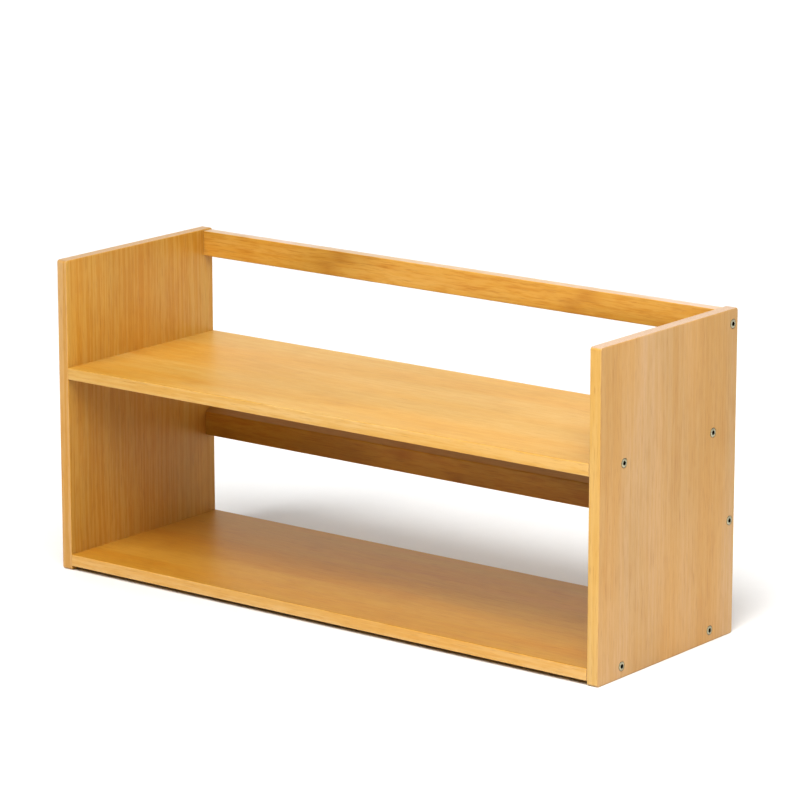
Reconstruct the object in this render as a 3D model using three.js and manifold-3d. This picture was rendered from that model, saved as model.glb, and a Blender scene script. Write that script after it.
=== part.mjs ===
// Two-tier bamboo desk hutch: two side panels, two shelves, two rear rails and twelve screws.
// Millimetres, +Z up. The origin is the middle of the footprint on the desk; the front faces -Y.

import * as THREE from 'three';
import { mergeVertices } from 'three/addons/utils/BufferGeometryUtils.js';
import Module from 'manifold-3d';

const wasm = await Module();
wasm.setup();

// Overall size and stock
const WIDTH = 500; // outside of the side panels
const DEPTH = 170;
const HEIGHT = 241.5;
const BOARD = 9.25; // thickness of every board
const EASE = 0.75; // sanded rounding along the long edges
const PANEL_CORNER = 2.25; // rounding of the side panels' four corners

// Shelves
const LOWER_SHELF_TOP = 12.5;
const UPPER_SHELF_TOP = 159;

// Rear rails: thin boards on edge, set in a little from the back
const RAIL_INSET = 1.5;
const TOP_RAIL_BOTTOM = 220.5;
const TOP_RAIL_HEIGHT = 19.75;
const MIDDLE_RAIL_BOTTOM = 76;
const MIDDLE_RAIL_FRONT_HEIGHT = 18.75;
const MIDDLE_RAIL_BACK_HEIGHT = 24.25; // its top slopes up to the back

// Raised countersunk hex-socket wood screws, 3.5 x 30; only the dome stands proud of the panel
const SCREW_LENGTH = 30; // below the dome
const HEAD_RADIUS = 3.2;
const HEAD_DOME = 0.65;
const HEAD_RIM = 0.4; // straight rim between the dome and the countersunk cone
const SHANK_RADIUS = 1.75;
const TIP_LENGTH = 4;
const SOCKET_ACROSS_FLATS = 3;
const SOCKET_DEPTH = 2.2; // below the top of the dome
const BORE_GAP = 0.3; // clearance round the shank and under the cone
const MOUTH_GAP = 0.4; // clearance round the rim of the head
const SHELF_SCREW_INSET = 29.5; // from the front and the back edges
const SHELF_SCREW_RISE = 0.75; // above the middle of the shelf's thickness
const MIDDLE_RAIL_SCREW_RISE = 9.5; // above the middle rail's underside

const ROUND_SIDES = 20; // sides of every screw and bore
const CORNER_STEPS = 4;
const DOME_STEPS = 4;

const innerHalf = WIDTH / 2 - BOARD;
const railMiddle = DEPTH / 2 - RAIL_INSET - BOARD / 2;

const bamboo = new THREE.MeshStandardMaterial({ color: 0xe3b173, roughness: 0.45, metalness: 0 });
const nickel = new THREE.MeshStandardMaterial({ color: 0xb9b8a6, roughness: 0.35, metalness: 1 });

// A closed solid from a three.js geometry
function solidFrom(geometry) {
  const bare = geometry.clone();
  bare.deleteAttribute('normal');
  bare.deleteAttribute('uv');
  const merged = mergeVertices(bare, 1e-4);
  return new wasm.Manifold(new wasm.Mesh({
    numProp: 3,
    vertProperties: new Float32Array(merged.attributes.position.array),
    triVerts: new Uint32Array(merged.index.array),
  }));
}

// A three.js geometry from a closed solid
function geometryFrom(solid) {
  const mesh = solid.getMesh();
  const geometry = new THREE.BufferGeometry();
  geometry.setAttribute('position', new THREE.BufferAttribute(mesh.vertProperties, 3));
  geometry.setIndex(new THREE.BufferAttribute(mesh.triVerts, 1));
  geometry.computeVertexNormals();
  return geometry;
}

function cut(geometry, cutters) {
  let solid = solidFrom(geometry);
  for (const cutter of cutters) {
    solid = solid.subtract(solidFrom(cutter));
  }
  return geometryFrom(solid);
}

// A closed outline through corner points, with every corner rounded by the same radius
function roundedOutline(corners, radius) {
  const shape = new THREE.Shape();
  corners.forEach((corner, i) => {
    const before = corners[(i + corners.length - 1) % corners.length];
    const after = corners[(i + 1) % corners.length];
    const start = corner.clone().add(before.clone().sub(corner).setLength(radius));
    const end = corner.clone().add(after.clone().sub(corner).setLength(radius));
    if (i === 0) {
      shape.moveTo(start.x, start.y);
    } else {
      shape.lineTo(start.x, start.y);
    }
    shape.quadraticCurveTo(corner.x, corner.y, end.x, end.y);
  });
  shape.closePath();
  return shape;
}

function rectangle(yLow, zLow, yHigh, zHigh) {
  return [
    new THREE.Vector2(yLow, zLow),
    new THREE.Vector2(yHigh, zLow),
    new THREE.Vector2(yHigh, zHigh),
    new THREE.Vector2(yLow, zHigh),
  ];
}

// Extrudes an outline drawn in Y and Z along X, centred on X = 0
function extrudeAlongX(shape, length, ease) {
  const geometry = new THREE.ExtrudeGeometry(shape, {
    depth: length - 2 * ease,
    curveSegments: CORNER_STEPS,
    bevelEnabled: ease > 0,
    bevelThickness: ease,
    bevelSize: ease,
    bevelOffset: -ease,
    bevelSegments: 2,
  });
  geometry.translate(0, 0, ease - length / 2);
  const yzToX = new THREE.Matrix4().makeBasis(
    new THREE.Vector3(0, 1, 0),
    new THREE.Vector3(0, 0, 1),
    new THREE.Vector3(1, 0, 0),
  );
  return geometry.applyMatrix4(yzToX);
}

// A turned solid whose profile runs along its own axis; the axis is laid along X,
// with side +1 for the right-hand end (profile heights grow towards +X) and -1 for the left
function turnedAlongX(profile, side) {
  const points = profile.map(([radius, height]) => new THREE.Vector2(radius, height));
  const geometry = new THREE.LatheGeometry(points, ROUND_SIDES);
  return geometry.rotateZ(-side * Math.PI / 2);
}

// Heights are measured from the panel's outer face, which is 0 and level with the rim of the head
const coneTop = -HEAD_RIM;
const coneBottom = coneTop - (HEAD_RADIUS - SHANK_RADIUS);
const tip = -SCREW_LENGTH;

// Profile points over the dome, from its rim in to the axis
function domeProfile() {
  const sphere = (HEAD_RADIUS ** 2 + HEAD_DOME ** 2) / (2 * HEAD_DOME);
  const points = [];
  for (let step = 0; step <= DOME_STEPS; step += 1) {
    const radius = HEAD_RADIUS * (1 - step / DOME_STEPS);
    points.push([radius, Math.sqrt(sphere ** 2 - radius ** 2) - sphere + HEAD_DOME]);
  }
  return points;
}

function screwGeometry(side) {
  const body = turnedAlongX([
    [0, tip],
    [SHANK_RADIUS, tip + TIP_LENGTH],
    [SHANK_RADIUS, coneBottom],
    [HEAD_RADIUS, coneTop],
    ...domeProfile(),
  ], side);
  const socketRadius = SOCKET_ACROSS_FLATS / Math.sqrt(3);
  const socket = new THREE.CylinderGeometry(socketRadius, socketRadius, 2 * SOCKET_DEPTH, 6);
  socket.rotateZ(Math.PI / 2).translate(side * HEAD_DOME, 0, 0);
  return cut(body, [socket]);
}

// The countersunk clearance hole through a side panel
function panelBore(side) {
  const over = 1;
  const hole = SHANK_RADIUS + BORE_GAP;
  const mouth = HEAD_RADIUS + MOUTH_GAP;
  return turnedAlongX([
    [0, -BOARD - over],
    [hole, -BOARD - over],
    [hole, coneBottom - BORE_GAP],
    [mouth, coneTop - BORE_GAP],
    [mouth, over],
    [0, over],
  ], side);
}

// The blind pilot hole in the end grain of a shelf or rail
function pilotBore(side) {
  const over = 1;
  const hole = SHANK_RADIUS + BORE_GAP;
  return turnedAlongX([
    [0, tip - BORE_GAP],
    [hole, tip + TIP_LENGTH - BORE_GAP],
    [hole, -BOARD + over],
    [0, -BOARD + over],
  ], side);
}

// Where the screws go: the board that each one holds, and its place in Y and Z
const shelfScrews = { front: SHELF_SCREW_INSET - DEPTH / 2, back: DEPTH / 2 - SHELF_SCREW_INSET };
const fixings = [];
for (const [board, top] of [['upper_shelf', UPPER_SHELF_TOP], ['lower_shelf', LOWER_SHELF_TOP]]) {
  for (const [place, y] of Object.entries(shelfScrews)) {
    fixings.push({ board, name: `${board}_${place}`, y, z: top - BOARD / 2 + SHELF_SCREW_RISE });
  }
}
fixings.push({
  board: 'top_rear_rail',
  name: 'top_rear_rail',
  y: railMiddle,
  z: TOP_RAIL_BOTTOM + TOP_RAIL_HEIGHT / 2,
});
fixings.push({
  board: 'middle_rear_rail',
  name: 'middle_rear_rail',
  y: railMiddle,
  z: MIDDLE_RAIL_BOTTOM + MIDDLE_RAIL_SCREW_RISE,
});

const sides = [{ word: 'left', sign: -1 }, { word: 'right', sign: 1 }];
const hutch = new THREE.Group();

function add(name, geometry, material, position = [0, 0, 0]) {
  const mesh = new THREE.Mesh(geometry, material);
  mesh.name = name;
  mesh.position.set(...position);
  hutch.add(mesh);
}

function addSidePanel({ word, sign }) {
  const outline = roundedOutline(rectangle(-DEPTH / 2, 0, DEPTH / 2, HEIGHT), PANEL_CORNER);
  const blank = extrudeAlongX(outline, BOARD, EASE);
  blank.translate(-sign * BOARD / 2, 0, 0);
  const bores = fixings.map(({ y, z }) => panelBore(sign).translate(0, y, z));
  add(`${word}_side_panel`, cut(blank, bores), bamboo, [sign * WIDTH / 2, 0, 0]);
}

// A shelf or rail between the panels, with a pilot hole for each of its screws
function addCrossBoard(name, corners) {
  const blank = extrudeAlongX(roundedOutline(corners, EASE), 2 * innerHalf, 0);
  const bores = [];
  for (const { sign } of sides) {
    for (const { y, z } of fixings.filter(({ board }) => board === name)) {
      bores.push(pilotBore(sign).translate(sign * WIDTH / 2, y, z));
    }
  }
  add(name, cut(blank, bores), bamboo);
}

function addShelf(name, top) {
  addCrossBoard(name, rectangle(-DEPTH / 2, top - BOARD, DEPTH / 2, top));
}

function addRail(name, bottom, frontHeight, backHeight) {
  const front = railMiddle - BOARD / 2;
  const back = railMiddle + BOARD / 2;
  addCrossBoard(name, [
    new THREE.Vector2(front, bottom),
    new THREE.Vector2(back, bottom),
    new THREE.Vector2(back, bottom + backHeight),
    new THREE.Vector2(front, bottom + frontHeight),
  ]);
}

sides.forEach(addSidePanel);
addShelf('upper_shelf', UPPER_SHELF_TOP);
addShelf('lower_shelf', LOWER_SHELF_TOP);
addRail('top_rear_rail', TOP_RAIL_BOTTOM, TOP_RAIL_HEIGHT, TOP_RAIL_HEIGHT);
addRail('middle_rear_rail', MIDDLE_RAIL_BOTTOM, MIDDLE_RAIL_FRONT_HEIGHT, MIDDLE_RAIL_BACK_HEIGHT);

for (const { word, sign } of sides) {
  for (const { name, y, z } of fixings) {
    add(`${word}_screw_${name}`, screwGeometry(sign), nickel, [sign * WIDTH / 2, y, z]);
  }
}

export default hutch;
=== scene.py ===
"""The looks of a two-tier bamboo desk hutch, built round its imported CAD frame.

Metres and +Z up; the front of the hutch faces -Y and it stands on the floor at Z = 0.
"""

import math
import random

import bmesh
import bpy
from mathutils import Matrix, Vector


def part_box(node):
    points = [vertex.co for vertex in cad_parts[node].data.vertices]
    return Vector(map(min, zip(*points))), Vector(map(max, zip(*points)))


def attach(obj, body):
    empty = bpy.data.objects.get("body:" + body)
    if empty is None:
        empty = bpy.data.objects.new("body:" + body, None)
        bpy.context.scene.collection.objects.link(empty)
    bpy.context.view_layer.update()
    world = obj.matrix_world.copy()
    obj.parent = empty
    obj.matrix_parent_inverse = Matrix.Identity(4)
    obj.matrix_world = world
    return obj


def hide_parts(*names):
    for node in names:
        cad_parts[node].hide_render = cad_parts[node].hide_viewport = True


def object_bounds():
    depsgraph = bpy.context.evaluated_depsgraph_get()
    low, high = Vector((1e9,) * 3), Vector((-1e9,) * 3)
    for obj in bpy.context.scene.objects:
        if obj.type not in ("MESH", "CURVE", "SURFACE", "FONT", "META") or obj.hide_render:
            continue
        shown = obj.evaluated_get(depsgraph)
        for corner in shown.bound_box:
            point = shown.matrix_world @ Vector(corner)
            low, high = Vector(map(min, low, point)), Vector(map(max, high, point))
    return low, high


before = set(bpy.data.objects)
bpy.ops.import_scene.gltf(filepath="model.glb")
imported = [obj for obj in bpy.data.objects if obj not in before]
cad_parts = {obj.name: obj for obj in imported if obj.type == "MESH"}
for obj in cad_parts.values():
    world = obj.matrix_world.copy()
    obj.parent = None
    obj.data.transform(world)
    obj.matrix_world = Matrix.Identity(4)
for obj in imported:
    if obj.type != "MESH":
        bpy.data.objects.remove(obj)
cad_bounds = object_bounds()

# Camera, placed round the middle of the object
CAMERA_AZIMUTH = 37.906  # degrees from the front towards the right-hand side
CAMERA_ELEVATION = 13.98
CAMERA_DISTANCE = 2.9733
CAMERA_PAN = -0.177  # degrees off the middle of the object
CAMERA_TILT = 0.606
CAMERA_LENS = 180.85  # millimetres
CAMERA_SENSOR = 36.0  # millimetres
CAMERA_CLIP_END = 100.0

# Light
SUN_AZIMUTH = 8.0  # degrees from the front towards the right-hand side
SUN_ELEVATION = 54.0
SUN_SPREAD = 44.0
SUN_STRENGTH = 2.75
BACKDROP_RADIANCE = 1.0
ROOM_RADIANCE = 0.12
BACKDROP_FADE = (-0.4, 0.5)  # Y of the directions where the room ends and the full backdrop starts
FLOOR_RADIUS = 14.0
FLOOR_SIDES = 64
SOFTBOX_AZIMUTH = 48.0
SOFTBOX_ELEVATION = 48.0
SOFTBOX_DISTANCE = 1.0
SOFTBOX_SIZE = 0.7
SOFTBOX_POWER = 5.6  # watts
VIEW_GAMMA = 0.8  # under 1, so it deepens the middle tones

# Boards
PANEL_CORNER = 0.00225  # rounding of the side panels' four corners
PANEL_CORNER_STEPS = 8
EASE = 0.00075  # sanded rounding of the long edges
EASE_STEPS = 5
END_EASE = 0.00025  # easing where a board butts against a side panel
END_EASE_STEPS = 2
MIDDLE_RAIL_SLOPE = 0.0055  # rise of the middle rail's top from front to back
BOARD_CREASE = 40  # degrees between faces, over which their edge is shaded as a crease

# The bamboo of each kind of board: grain names the axes along, across and through it, strip is the
# width of one glued strip, fleck the share of the grain lines that are short, and mottle the strength
# of the shade, the strips, the patches, the streaks and the rings
BAMBOO_KINDS = {
    "panel": {"grain": "ZYX", "strip": 0.0055, "fleck": 0.25, "mottle": 0.25},
    "shelf": {"grain": "XYZ", "strip": 0.019, "fleck": 0.35, "mottle": 0.25},
    "rail": {"grain": "XZY", "strip": 0.021, "fleck": 0.5, "mottle": 0.9},
}

# Noise in the bamboo: cells per metre along and across the grain, how many cells one step of the
# seed moves the pattern, the octaves of detail, and the roughness of that detail
WANDER_NOISE = (9.0, 14.0, 6.1, 1.0, 0.5)
NOISE = {
    "tint": (3.0, 30.0, 3.1, 1.0, 0.5),
    "shade": (5.0, 20.0, 7.3, 1.0, 0.5),
    "long_lines": (5.0, 340.0, 1.7, 2.0, 0.6),
    "short_lines": (50.0, 300.0, 5.3, 2.0, 0.6),
    "patches": (16.0, 120.0, 4.7, 2.0, 0.6),
    "streaks": (60.0, 700.0, 8.9, 2.0, 0.6),
    "fibres": (30.0, 2400.0, 2.3, 2.0, 0.6),
    "bundles": (70.0, 2100.0, 4.3, 1.0, 0.5),
}
END_DOTS = (900.0, 1900.0, 1900.0)  # cells per metre, along, across and through

# Marks in the bamboo: the values where the mark starts and where it is full (of noise, or for a
# growth ring of the distance from its middle, in ring spacings), and what a full mark of strength 1
# multiplies the colour by
MARKS = {
    "shade": (0.38, 0.62, (0.75, 0.70, 0.42)),
    "lines": (0.43, 0.57, (0.94, 0.84, 0.50)),
    "patches": (0.52, 0.68, (0.93, 0.84, 0.66)),
    "streaks": (0.48, 0.66, (0.92, 0.84, 0.66)),
    "rings": (0.12, 0.03, (0.86, 0.77, 0.62)),
    "bundles": (0.58, 0.72, (0.74, 0.62, 0.48)),
    "dots": (0.50, 0.68, (0.76, 0.66, 0.54)),
}
DARKEST_STRIP = (0.94, 0.89, 0.78)  # the same for the darkest glued strip
BUNDLE_STRENGTH = 0.5
WARM_TINT = (1.0, 0.95, 0.82)
PALE_TINT = (1.0, 1.03, 1.20)
TINT_FADE = (0.35, 0.65)  # values of noise, from warm to pale
WANDER = 0.004  # how far the grain lines stray
RING_SPACING = 0.23  # between the growth rings of one strip
RING_RAGGEDNESS = 0.09  # how far noise moves the edge of a ring, in ring spacings
GRAIN_BUMP = 0.00002  # height of the long grain lines
FIBRE_SHARE = 0.5  # height of the fibres, as a share of that
LINE_FADE = (0.3, 0.7)  # values of the long grain lines' noise
WOOD_ROUGHNESS = (0.48, 0.42)  # at the two ends of that fade

# Where one kind of face fades into another, as the part of the normal that tells them apart
EDGE_FADE = (0.6, 0.8)  # across the grain: from broad face to edge
END_FADE = (0.55, 0.85)  # along the grain: from long grain to end grain
INNER_BOUNCE_FADE = (-0.5, 0.5)  # through the left panel: from its outer face to its inner one, which carries painted warm bounce light
EDGE_MOTTLE = 0.3  # mottle on an edge, as a share of that on a broad face

# Each board's own piece of bamboo: where in the pattern it is cut from, how strong its lines are,
# and the colours of its broad faces, its edges and its end grain before any marks; the left panel's
# inner face has a more saturated colour than its outer one, painted warm bounce light from inside the
# hutch
BAMBOO = {
    "left_side_panel": {
        "seed": 1,
        "contrast": 1.0,
        # Inner face: painted warm bounce light, more saturated than the outer face
        "face": (0.620, 0.375, 0.083),
        "outer_face": (0.610, 0.390, 0.171),  # on the -X side
        # Edge and end darker and more saturated than the right panel's: painted shade of the light
        # falling off towards the left
        "edge": (0.600, 0.365, 0.130),
        "end": (0.540, 0.345, 0.165),
    },
    "right_side_panel": {
        "seed": 92,
        "contrast": 0.45,
        "face": (0.610, 0.390, 0.171),
        "edge": (0.620, 0.420, 0.162),
        # Top end: partly its paler end grain, partly a painted grazing sheen
        "end": (0.550, 0.395, 0.270),
    },
    "upper_shelf": {
        "seed": 3,
        "contrast": 0.7,
        "face": (0.605, 0.380, 0.098),
        "edge": (0.655, 0.433, 0.158),
        "end": (0.600, 0.410, 0.230),
    },
    "lower_shelf": {
        "seed": 4,
        "contrast": 0.7,
        # Darker and more saturated than the upper shelf's face: painted shade of the lower bay
        "face": (0.545, 0.305, 0.043),
        "edge": (0.670, 0.422, 0.144),
        "end": (0.600, 0.410, 0.230),
    },
    "top_rear_rail": {
        "seed": 95,
        "contrast": 0.6,
        "face": (0.670, 0.430, 0.118),
        # Edges, the rail's top and bottom: partly the strips' paler edge grain, partly a painted
        # grazing sheen
        "edge": (0.620, 0.490, 0.400),
        "end": (0.600, 0.410, 0.230),
    },
    "middle_rear_rail": {
        "seed": 6,
        "contrast": 0.6,
        # Face and edge darker and more saturated than the top rail's: painted shade under the upper
        # shelf
        "face": (0.600, 0.370, 0.052),
        "edge": (0.530, 0.320, 0.100),
        "end": (0.520, 0.350, 0.190),
    },
}

# Raised countersunk hex-socket wood screws; only the dome stands proud of the panel
SCREW_LENGTH = 0.03  # below the dome
HEAD_RADIUS = 0.0032
HEAD_DOME = 0.00065
DOME_STEPS = 8
HEAD_RIM = 0.0004
RIM_CHAMFER = 0.00008
SHANK_RADIUS = 0.00175
CORE_RADIUS = 0.0012
TIP_LENGTH = 0.004
THREAD_LENGTH = 0.021
THREAD_PITCH = 0.0018
ROWS_PER_PITCH = 10
SOCKET_ACROSS_FLATS = 0.003
SOCKET_DEPTH = 0.0022  # below the top of the dome
SOCKET_CHAMFER = 0.00018
BORE_GAP = 0.0003
MOUTH_GAP = 0.0004
SOCKET_POINT = 1 / 3  # depth of the drilled cone under the socket, as a share of its radius
THREAD_RIDGE = 0.25  # half the width of the thread's ridge, as a share of the pitch
ROUND_SIDES = 48
SCREW_CREASE = 30  # degrees

# The nickel: bright on the dome, with painted shade in the socket and round the rim, bright again on
# the shank
NICKEL_LIGHT = (0.53, 0.51, 0.38)
NICKEL_DULL = (0.38, 0.36, 0.25)
RECESS_SHADE = (0.035, 0.026, 0.014)
SHADED_SIDES_FADE = (0.30, 0.62)  # part of the normal along the screw, from painted shade to bright
SHADE_STARTS = (0.0009, 0.0012)  # depths below the panel's face, over which the painted shade comes in
SHADE_ENDS = (0.0024, 0.0030)
NICKEL_ROUGHNESS = (0.30, 0.45)  # clean and dull
TURNING_MARKS = 9000.0  # cells per metre
TURNING_BUMP = 0.00001
GRIME = 700.0  # cells per metre

FLOOR_DARK = (0.84, 0.84, 0.835)
FLOOR_PALE = (0.86, 0.86, 0.855)
FLOOR_GRAIN = 60.0  # cells per metre

panel_low, panel_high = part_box("right_side_panel")
OUTER_FACE = panel_high.x
BOARD_THICKNESS = panel_high.x - panel_low.x

SIDES = {"left": -1, "right": 1}

# The screws in each end of each board between the side panels
HELD = {
    "upper_shelf": ("upper_shelf_front", "upper_shelf_back"),
    "lower_shelf": ("lower_shelf_front", "lower_shelf_back"),
    "top_rear_rail": ("top_rear_rail",),
    "middle_rear_rail": ("middle_rear_rail",),
}


# ---- Node graphs ----

class Graph:
    """A node tree, with a short call for each kind of node that the materials here use."""

    def __init__(self, tree):
        self.tree = tree

    def put(self, socket, value):
        if isinstance(value, bpy.types.NodeSocket):
            self.tree.links.new(value, socket)
        else:
            socket.default_value = value

    def math(self, operation, first, second=0.0, third=0.0):
        node = self.tree.nodes.new("ShaderNodeMath")
        node.operation = operation
        for socket, value in zip(node.inputs, (first, second, third)):
            self.put(socket, value)
        return node.outputs[0]

    def vector(self, x, y, z):
        node = self.tree.nodes.new("ShaderNodeCombineXYZ")
        for socket, value in zip(node.inputs, (x, y, z)):
            self.put(socket, value)
        return node.outputs[0]

    def stretched(self, axes, scales, offset=0.0):
        """The coordinates, scaled along each axis and moved by an offset."""
        pairs = zip(axes, scales)
        return self.vector(*(self.math("MULTIPLY_ADD", axis, scale, offset) for axis, scale in pairs))

    def noise(self, vector, detail, roughness=0.5):
        node = self.tree.nodes.new("ShaderNodeTexNoise")
        self.put(node.inputs["Vector"], vector)
        node.inputs["Scale"].default_value = 1.0
        node.inputs["Detail"].default_value = detail
        node.inputs["Roughness"].default_value = roughness
        return node.outputs["Fac"]

    def dice(self, first, second):
        """A random number from 0 to 1 for each pair of whole numbers."""
        node = self.tree.nodes.new("ShaderNodeTexWhiteNoise")
        node.noise_dimensions = "2D"
        self.put(node.inputs["Vector"], self.vector(first, second, 0.0))
        return node.outputs["Value"]

    def fade(self, value, low, high, to_low=0.0, to_high=1.0):
        """A smooth step of value between low and high."""
        node = self.tree.nodes.new("ShaderNodeMapRange")
        node.interpolation_type = "SMOOTHSTEP"
        for socket, given in zip(node.inputs, (value, low, high, to_low, to_high)):
            self.put(socket, given)
        return node.outputs["Result"]

    def blend(self, factor, first, second, kind="MIX"):
        node = self.tree.nodes.new("ShaderNodeMix")
        node.data_type = "RGBA"
        node.blend_type = kind
        self.put(node.inputs["Factor"], factor)
        colours = [socket for socket in node.inputs if socket.type == "RGBA"]
        self.put(colours[0], first)
        self.put(colours[1], second)
        return [socket for socket in node.outputs if socket.type == "RGBA"][0]

    def bump(self, height, distance):
        node = self.tree.nodes.new("ShaderNodeBump")
        node.inputs["Strength"].default_value = 1.0
        node.inputs["Distance"].default_value = distance
        self.put(node.inputs["Height"], height)
        return node.outputs["Normal"]

    def coordinates(self, kind, order="XYZ"):
        """The three object coordinates, or the three parts of the normal, in the order given."""
        source = self.tree.nodes.new("ShaderNodeTexCoord").outputs[kind]
        split = self.tree.nodes.new("ShaderNodeSeparateXYZ")
        self.put(split.inputs[0], source)
        return [split.outputs[letter] for letter in order]


def new_material(name):
    material = bpy.data.materials.new(name)
    material.use_nodes = True
    return material, Graph(material.node_tree), material.node_tree.nodes["Principled BSDF"]


def rgb(red, green, blue):
    return (red, green, blue, 1.0)


# ---- Materials ----

def bamboo(board, kind):
    """Lacquered laminated bamboo, from the board's and the kind's entries in the tables above."""
    look = BAMBOO_KINDS[kind] | BAMBOO[board]
    seed = look["seed"]
    material, graph, shader = new_material(f"bamboo_{board}")
    along, across, through = graph.coordinates("Object", look["grain"])
    normal = graph.coordinates("Normal", look["grain"])
    end_on, edge_on = (graph.math("ABSOLUTE", part) for part in normal[:2])

    def pattern(sideways, scale_along, scale_across, offset, detail, roughness):
        scales = (scale_along, scale_across, scale_across)
        place = graph.stretched((along, sideways, through), scales, seed * offset)
        return graph.noise(place, detail, roughness)

    def darker(colour, factor, ratio):
        return graph.blend(factor, colour, graph.blend(1.0, colour, rgb(*ratio), "MULTIPLY"))

    def marked(colour, name, value, strength=1.0):
        """The colour with a mark from the table, where the value is past the mark's start."""
        start, full, ratio = MARKS[name]
        factor = graph.math("MULTIPLY", graph.fade(value, start, full), strength)
        return darker(colour, factor, ratio)

    # The grain wanders a little from side to side
    wandering = graph.math("MULTIPLY_ADD", pattern(across, *WANDER_NOISE), WANDER, across)
    noise = {name: pattern(wandering, *numbers) for name, numbers in NOISE.items()}

    # Broad faces and edges, with a slow change from warm to pale
    face = rgb(*look["face"])
    # On the left panel the inner face's colour is more saturated: painted warm bounce light from
    # inside the hutch
    if "outer_face" in look:
        face = graph.blend(graph.fade(normal[2], *INNER_BOUNCE_FADE), rgb(*look["outer_face"]), face)
    colour = graph.blend(graph.fade(edge_on, *EDGE_FADE), face, rgb(*look["edge"]))
    tint = graph.blend(graph.fade(noise["tint"], *TINT_FADE), rgb(*WARM_TINT), rgb(*PALE_TINT))
    colour = graph.blend(1.0, colour, tint, "MULTIPLY")
    mottle = graph.fade(edge_on, *EDGE_FADE, 1.0, EDGE_MOTTLE)
    mottle = graph.math("MULTIPLY", mottle, look["mottle"])
    colour = marked(colour, "shade", noise["shade"], mottle)

    # Grain lines, part of them long and part of them short
    long_share = graph.math("MULTIPLY", noise["long_lines"], 1 - look["fleck"])
    lines = graph.math("MULTIPLY_ADD", noise["short_lines"], look["fleck"], long_share)
    colour = marked(colour, "lines", lines, look["contrast"])

    # The glued strips, each with a tone of its own
    number = graph.math("FLOOR", graph.math("DIVIDE", across, look["strip"]))
    tone = graph.math("MULTIPLY", graph.dice(number, float(seed)), mottle)
    colour = darker(colour, tone, DARKEST_STRIP)

    # Soft darker patches, and finer streaks
    for name in ("patches", "streaks"):
        colour = marked(colour, name, noise[name], mottle)

    # Growth rings of the stem: a soft darker patch once in every length of each strip
    start = graph.dice(number, seed + 0.5)
    place = graph.math("FRACT", graph.math("MULTIPLY_ADD", along, 1 / RING_SPACING, start))
    from_ring = graph.math("ABSOLUTE", graph.math("SUBTRACT", place, 0.5))
    ragged = graph.math("MULTIPLY_ADD", noise["short_lines"], RING_RAGGEDNESS, from_ring)
    colour = marked(colour, "rings", ragged, mottle)

    # Vascular bundles: short fine darker dashes
    colour = marked(colour, "bundles", noise["bundles"], BUNDLE_STRENGTH)

    # End grain: paler, with the cut bundles as fine dots
    dots = graph.noise(graph.stretched((along, across, through), END_DOTS, seed), detail=1.0)
    speckled = marked(rgb(*look["end"]), "dots", dots)
    colour = graph.blend(graph.fade(end_on, *END_FADE), colour, speckled)

    graph.put(shader.inputs["Base Color"], colour)
    roughness = graph.fade(noise["long_lines"], *LINE_FADE, *WOOD_ROUGHNESS)
    graph.put(shader.inputs["Roughness"], roughness)
    shader.inputs["Coat Weight"].default_value = 0.15
    shader.inputs["Coat Roughness"].default_value = 0.32
    fibres = graph.math("MULTIPLY", noise["fibres"], FIBRE_SHARE)
    grooves = graph.math("ADD", noise["long_lines"], fibres)
    graph.put(shader.inputs["Normal"], graph.bump(grooves, GRAIN_BUMP))
    return material


def nickel():
    """Satin nickel, with painted shade down in the hex socket and round the rim of the head."""
    material, graph, shader = new_material("satin_nickel")
    x, y, z = graph.coordinates("Object")
    facing_out = graph.math("ABSOLUTE", graph.coordinates("Normal")[0])
    round_the_axis = graph.vector(graph.math("MULTIPLY", x, TURNING_MARKS), 0.0, 0.0)
    turning_marks = graph.noise(round_the_axis, detail=2.0)
    grime = graph.noise(graph.stretched((x, y, z), (GRIME, GRIME, GRIME)), detail=3.0)
    colour = graph.blend(graph.fade(grime, 0.35, 0.75), rgb(*NICKEL_LIGHT), rgb(*NICKEL_DULL))
    # Painted shade: a dark colour on the sideways faces of the socket and the rim, and deep in the
    # socket, fading out again down the shank
    depth = graph.math("SUBTRACT", OUTER_FACE, graph.math("ABSOLUTE", x))
    shaded_sides = graph.fade(facing_out, *SHADED_SIDES_FADE, 1.0, 0.0)
    painted_shade = graph.math("MAXIMUM", shaded_sides, graph.fade(depth, *SHADE_STARTS))
    painted_shade = graph.math("MULTIPLY", painted_shade, graph.fade(depth, *SHADE_ENDS, 1.0, 0.0))
    colour = graph.blend(painted_shade, colour, rgb(*RECESS_SHADE))
    graph.put(shader.inputs["Base Color"], colour)
    shader.inputs["Metallic"].default_value = 1.0
    graph.put(shader.inputs["Roughness"], graph.fade(grime, 0.2, 0.8, *NICKEL_ROUGHNESS))
    graph.put(shader.inputs["Normal"], graph.bump(turning_marks, TURNING_BUMP))
    return material


def floor_paint():
    material, graph, shader = new_material("pale_floor")
    axes = graph.coordinates("Object")
    grain = graph.noise(graph.stretched(axes, (FLOOR_GRAIN, FLOOR_GRAIN, FLOOR_GRAIN)), detail=3.0)
    colour = graph.blend(grain, rgb(*FLOOR_DARK), rgb(*FLOOR_PALE))
    graph.put(shader.inputs["Base Color"], colour)
    shader.inputs["Roughness"].default_value = 0.9
    shader.inputs["Specular IOR Level"].default_value = 0.1
    return material


# ---- Mesh work ----

def prism(outline, x_low, x_high):
    """A closed prism along X through (y, z) points that run anticlockwise seen from +X."""
    bm = bmesh.new()
    near, far = ([bm.verts.new((x, y, z)) for y, z in outline] for x in (x_low, x_high))
    bm.faces.new(reversed(near))
    bm.faces.new(far)
    for i in range(len(outline)):
        j = (i + 1) % len(outline)
        bm.faces.new((near[i], near[j], far[j], far[i]))
    return bm


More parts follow.
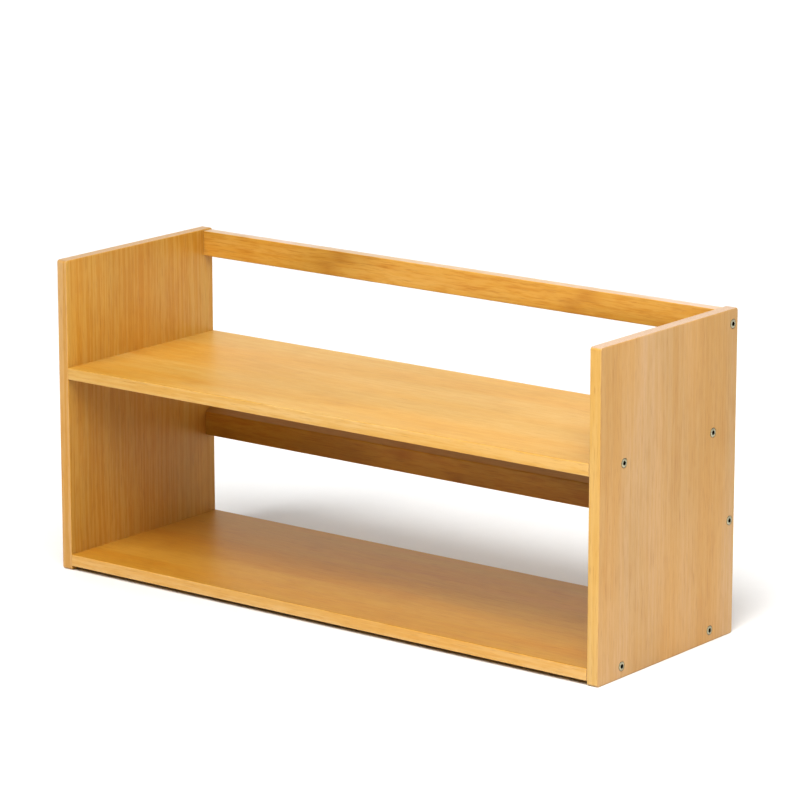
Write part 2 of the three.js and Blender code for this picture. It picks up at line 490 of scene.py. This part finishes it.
def round_edges(bm, along_x, radius, segments):
    """Rounds the edges that run along X, or all those that lie across it."""
    def runs_along_x(edge):
        return abs(edge.verts[0].co.x - edge.verts[1].co.x) > radius
    edges = [edge for edge in bm.edges if runs_along_x(edge) == along_x]
    bmesh.ops.bevel(
        bm,
        geom=edges,
        offset=radius,
        offset_type="OFFSET",
        segments=segments,
        profile=0.5,
        affect="EDGES",
    )


def turned(profile, side, sides=ROUND_SIDES, radius_at=None):
    """A closed solid turned about X from (radius, height) points that start and end on the axis.

    Heights grow outwards on the given side. radius_at(angle, height, radius) may change a radius.
    """
    bm = bmesh.new()
    rings = []
    for radius, height in profile:
        if radius == 0:
            rings.append([bm.verts.new((side * height, 0.0, 0.0))])
            continue
        ring = []
        for k in range(sides):
            angle = 2 * math.pi * k / sides
            r = radius_at(angle, height, radius) if radius_at else radius
            ring.append(bm.verts.new((side * height, r * math.cos(angle), r * math.sin(angle))))
        rings.append(ring)
    for lower, upper in zip(rings, rings[1:]):
        for k in range(sides):
            m = (k + 1) % sides
            # A ring that is one point on the axis gives the same corner twice, so a triangle
            corners = (
                lower[k % len(lower)],
                lower[m % len(lower)],
                upper[m % len(upper)],
                upper[k % len(upper)],
            )
            bm.faces.new(list(dict.fromkeys(corners)))
    bmesh.ops.recalc_face_normals(bm, faces=bm.faces)
    return bm


def object_from(bm, name):
    mesh = bpy.data.meshes.new(name)
    bm.to_mesh(mesh)
    bm.free()
    obj = bpy.data.objects.new(name, mesh)
    bpy.context.scene.collection.objects.link(obj)
    return obj


def carve(obj, cutters):
    """Cuts the solids in the list of bmeshes out of the object's mesh."""
    joined = bmesh.new()
    for cutter in cutters:
        part = bpy.data.meshes.new("part")
        cutter.to_mesh(part)
        cutter.free()
        joined.from_mesh(part)
        bpy.data.meshes.remove(part)
    tool = object_from(joined, "cutter")
    modifier = obj.modifiers.new("carve", "BOOLEAN")
    modifier.operation = "DIFFERENCE"
    modifier.solver = "EXACT"
    modifier.object = tool
    graph = bpy.context.evaluated_depsgraph_get()
    carved = bpy.data.meshes.new_from_object(obj.evaluated_get(graph))
    if not carved.polygons:
        raise RuntimeError(f"carving {obj.name} left nothing")
    obj.modifiers.clear()
    obj.data = carved
    bpy.data.objects.remove(tool)


def finish_piece(obj, node, material, crease):
    """Smooth shading with crisp creases and the piece's material, on the root body; hides the CAD
    node it replaces.
    """
    mesh = obj.data
    mesh.materials.clear()
    mesh.materials.append(material)
    mesh.shade_smooth()
    mesh.set_sharp_from_angle(angle=math.radians(crease))
    weighted = obj.modifiers.new("flat_faces", "WEIGHTED_NORMAL")
    weighted.keep_sharp = True
    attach(obj, "root")
    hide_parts(node)


# ---- Boards ----

def axis_of(node):
    """The (y, z) of a screw's axis."""
    low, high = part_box(node)
    return (low.y + high.y) / 2, (low.z + high.z) / 2


def panel_bore(side, node):
    """The countersunk clearance hole for a screw through a side panel."""
    y, z = axis_of(node)
    over = 0.001
    hole = SHANK_RADIUS + BORE_GAP
    mouth = HEAD_RADIUS + MOUTH_GAP
    cone_top = -HEAD_RIM - BORE_GAP
    bore = turned([
        (0, -BOARD_THICKNESS - over),
        (hole, -BOARD_THICKNESS - over),
        (hole, cone_top - (mouth - hole)),
        (mouth, cone_top),
        (mouth, over),
        (0, over),
    ], side)
    bmesh.ops.translate(bore, verts=bore.verts, vec=(side * OUTER_FACE, y, z))
    return bore


def pilot_bore(side, node):
    """The blind hole for a screw in the end of a shelf or rail."""
    y, z = axis_of(node)
    over = 0.001
    hole = SHANK_RADIUS + BORE_GAP
    tip = -SCREW_LENGTH - BORE_GAP
    bore = turned([
        (0, tip),
        (hole, tip + TIP_LENGTH),
        (hole, -BOARD_THICKNESS + over),
        (0, -BOARD_THICKNESS + over),
    ], side)
    bmesh.ops.translate(bore, verts=bore.verts, vec=(side * OUTER_FACE, y, z))
    return bore


def side_panel(word, material):
    node = f"{word}_side_panel"
    low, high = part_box(node)
    outline = [(low.y, low.z), (high.y, low.z), (high.y, high.z), (low.y, high.z)]
    bm = prism(outline, low.x, high.x)
    round_edges(bm, True, PANEL_CORNER, PANEL_CORNER_STEPS)
    round_edges(bm, False, EASE, EASE_STEPS)
    panel = object_from(bm, f"{node}_bamboo")
    screws = [f"{word}_screw_{place}" for places in HELD.values() for place in places]
    carve(panel, [panel_bore(SIDES[word], screw) for screw in screws])
    finish_piece(panel, node, material, BOARD_CREASE)


def cross_board(node, material, slope=0.0):
    low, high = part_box(node)
    outline = [(low.y, low.z), (high.y, low.z), (high.y, high.z), (low.y, high.z - slope)]
    bm = prism(outline, low.x, high.x)
    round_edges(bm, True, EASE, EASE_STEPS)
    round_edges(bm, False, END_EASE, END_EASE_STEPS)
    board = object_from(bm, f"{node}_bamboo")
    bores = []
    for word, side in SIDES.items():
        bores += [pilot_bore(side, f"{word}_screw_{place}") for place in HELD[node]]
    carve(board, bores)
    finish_piece(board, node, material, BOARD_CREASE)


# ---- Screws ----

def dome_height(radius):
    """How far the domed top of a screw stands above its rim."""
    sphere = (HEAD_RADIUS ** 2 + HEAD_DOME ** 2) / (2 * HEAD_DOME)
    return math.sqrt(sphere ** 2 - radius ** 2) - sphere + HEAD_DOME


def threaded(side):
    """The radius of a threaded shank: the core, with one turn of a V-shaped ridge every pitch."""
    thread_top = THREAD_LENGTH - SCREW_LENGTH

    def radius_at(angle, height, radius):
        if height > thread_top:
            return radius
        phase = ((height + SCREW_LENGTH) / THREAD_PITCH - side * angle / (2 * math.pi)) % 1
        ridge = max(0.0, 1 - abs(phase - 0.5) / THREAD_RIDGE)
        runout = min(1.0, (thread_top - height) / THREAD_PITCH)
        core = radius * CORE_RADIUS / SHANK_RADIUS
        return core + (radius - core) * max(ridge, 1 - runout)

    return radius_at


def screw_profile():
    """(radius, height) points from the tip to the top of the dome; the panel's face is 0."""
    rows = round(THREAD_LENGTH / THREAD_PITCH * ROWS_PER_PITCH)
    points = [(0, -SCREW_LENGTH)]
    for row in range(1, rows + 1):
        height = THREAD_LENGTH * row / rows
        taper = min(1.0, height / TIP_LENGTH)
        points.append((SHANK_RADIUS * taper, height - SCREW_LENGTH))
    points += [
        (SHANK_RADIUS, -HEAD_RIM - (HEAD_RADIUS - SHANK_RADIUS)),
        (HEAD_RADIUS, -HEAD_RIM),
        (HEAD_RADIUS, -RIM_CHAMFER),
    ]
    for step in range(DOME_STEPS + 1):
        radius = (HEAD_RADIUS - RIM_CHAMFER) * (1 - step / DOME_STEPS)
        points.append((radius, dome_height(radius)))
    return points


def screw(word, place, material, spin):
    side = SIDES[word]
    node = f"{word}_screw_{place}"
    y, z = axis_of(node)
    body = object_from(turned(screw_profile(), side, radius_at=threaded(side)), f"{node}_nickel")

    corner = SOCKET_ACROSS_FLATS / math.sqrt(3)
    over = HEAD_DOME
    bottom = HEAD_DOME - SOCKET_DEPTH
    socket = turned([
        (0, bottom - corner * SOCKET_POINT),
        (corner, bottom),
        (corner, HEAD_DOME + over),
        (0, HEAD_DOME + over),
    ], side, 6)
    mouth = corner + SOCKET_CHAMFER
    lip = dome_height(mouth)
    chamfer = turned([
        (0, lip - mouth),
        (mouth + over, lip + over),
        (0, lip + over),
    ], side)
    carve(body, [socket])
    carve(body, [chamfer])
    place_at = Matrix.Translation((side * OUTER_FACE, y, z))
    body.data.transform(place_at @ Matrix.Rotation(spin, 4, "X"))
    finish_piece(body, node, material, SCREW_CREASE)


# ---- Studio ----

def direction(azimuth, elevation):
    """The unit vector that points away from the object at those angles, in degrees."""
    a, e = math.radians(azimuth), math.radians(elevation)
    return Vector((math.sin(a) * math.cos(e), -math.cos(a) * math.cos(e), math.sin(e)))


def make_camera():
    camera = bpy.data.objects.new("camera", bpy.data.cameras.new("camera"))
    bpy.context.scene.collection.objects.link(camera)
    camera.data.lens = CAMERA_LENS
    camera.data.sensor_width = CAMERA_SENSOR
    camera.data.clip_end = CAMERA_CLIP_END
    middle = (cad_bounds[0] + cad_bounds[1]) / 2
    camera.location = middle + CAMERA_DISTANCE * direction(CAMERA_AZIMUTH, CAMERA_ELEVATION)
    camera.rotation_euler = (
        math.radians(90 - CAMERA_ELEVATION + CAMERA_TILT),
        0.0,
        math.radians(CAMERA_AZIMUTH + CAMERA_PAN),
    )
    bpy.context.scene.camera = camera


def make_sun():
    light = bpy.data.lights.new("overhead_softbox", "SUN")
    light.energy = SUN_STRENGTH
    light.angle = math.radians(SUN_SPREAD)
    sun = bpy.data.objects.new("overhead_softbox", light)
    bpy.context.scene.collection.objects.link(sun)
    sun.rotation_mode = "QUATERNION"
    sun.rotation_quaternion = direction(SUN_AZIMUTH, SUN_ELEVATION).to_track_quat("Z", "Y")


def make_softbox():
    """A softbox near the right-hand end, so that the light falls off towards the left."""
    light = bpy.data.lights.new("side_softbox", "AREA")
    light.energy = SOFTBOX_POWER
    light.size = SOFTBOX_SIZE
    softbox = bpy.data.objects.new("side_softbox", light)
    bpy.context.scene.collection.objects.link(softbox)
    away = direction(SOFTBOX_AZIMUTH, SOFTBOX_ELEVATION)
    softbox.location = (cad_bounds[0] + cad_bounds[1]) / 2 + SOFTBOX_DISTANCE * away
    softbox.rotation_mode = "QUATERNION"
    softbox.rotation_quaternion = away.to_track_quat("Z", "Y")
    softbox.visible_camera = False


def make_world():
    """A pale backdrop behind the object that fades into a dimmer room in front of it."""
    world = bpy.data.worlds.new("studio")
    bpy.context.scene.world = world
    world.use_nodes = True
    graph = Graph(world.node_tree)
    backwards = graph.coordinates("Generated")[1]
    lit = graph.fade(backwards, *BACKDROP_FADE, ROOM_RADIANCE, BACKDROP_RADIANCE)
    background = world.node_tree.nodes["Background"]
    background.inputs["Color"].default_value = rgb(1.0, 1.0, 1.0)
    graph.put(background.inputs["Strength"], lit)


def make_floor():
    bm = bmesh.new()
    bmesh.ops.create_circle(bm, cap_ends=True, segments=FLOOR_SIDES, radius=FLOOR_RADIUS)
    floor = object_from(bm, "floor")
    floor.data.materials.append(floor_paint())


def show_as_seen():
    view = bpy.context.scene.view_settings
    view.view_transform = "Standard"
    view.look = "None"
    view.exposure = 0.0
    view.gamma = VIEW_GAMMA


make_camera()
make_world()
make_sun()
make_softbox()
make_floor()
show_as_seen()

for word in SIDES:
    side_panel(word, bamboo(f"{word}_side_panel", "panel"))
for shelf in ("upper_shelf", "lower_shelf"):
    cross_board(shelf, bamboo(shelf, "shelf"))
for rail, slope in {"top_rear_rail": 0.0, "middle_rear_rail": MIDDLE_RAIL_SLOPE}.items():
    cross_board(rail, bamboo(rail, "rail"), slope)

# Each socket is turned its own way; a hex socket looks the same after a sixth of a turn
metal = nickel()
turns = random.Random(7)
for word in SIDES:
    for places in HELD.values():
        for place in places:
            screw(word, place, metal, turns.uniform(0, math.pi / 3))
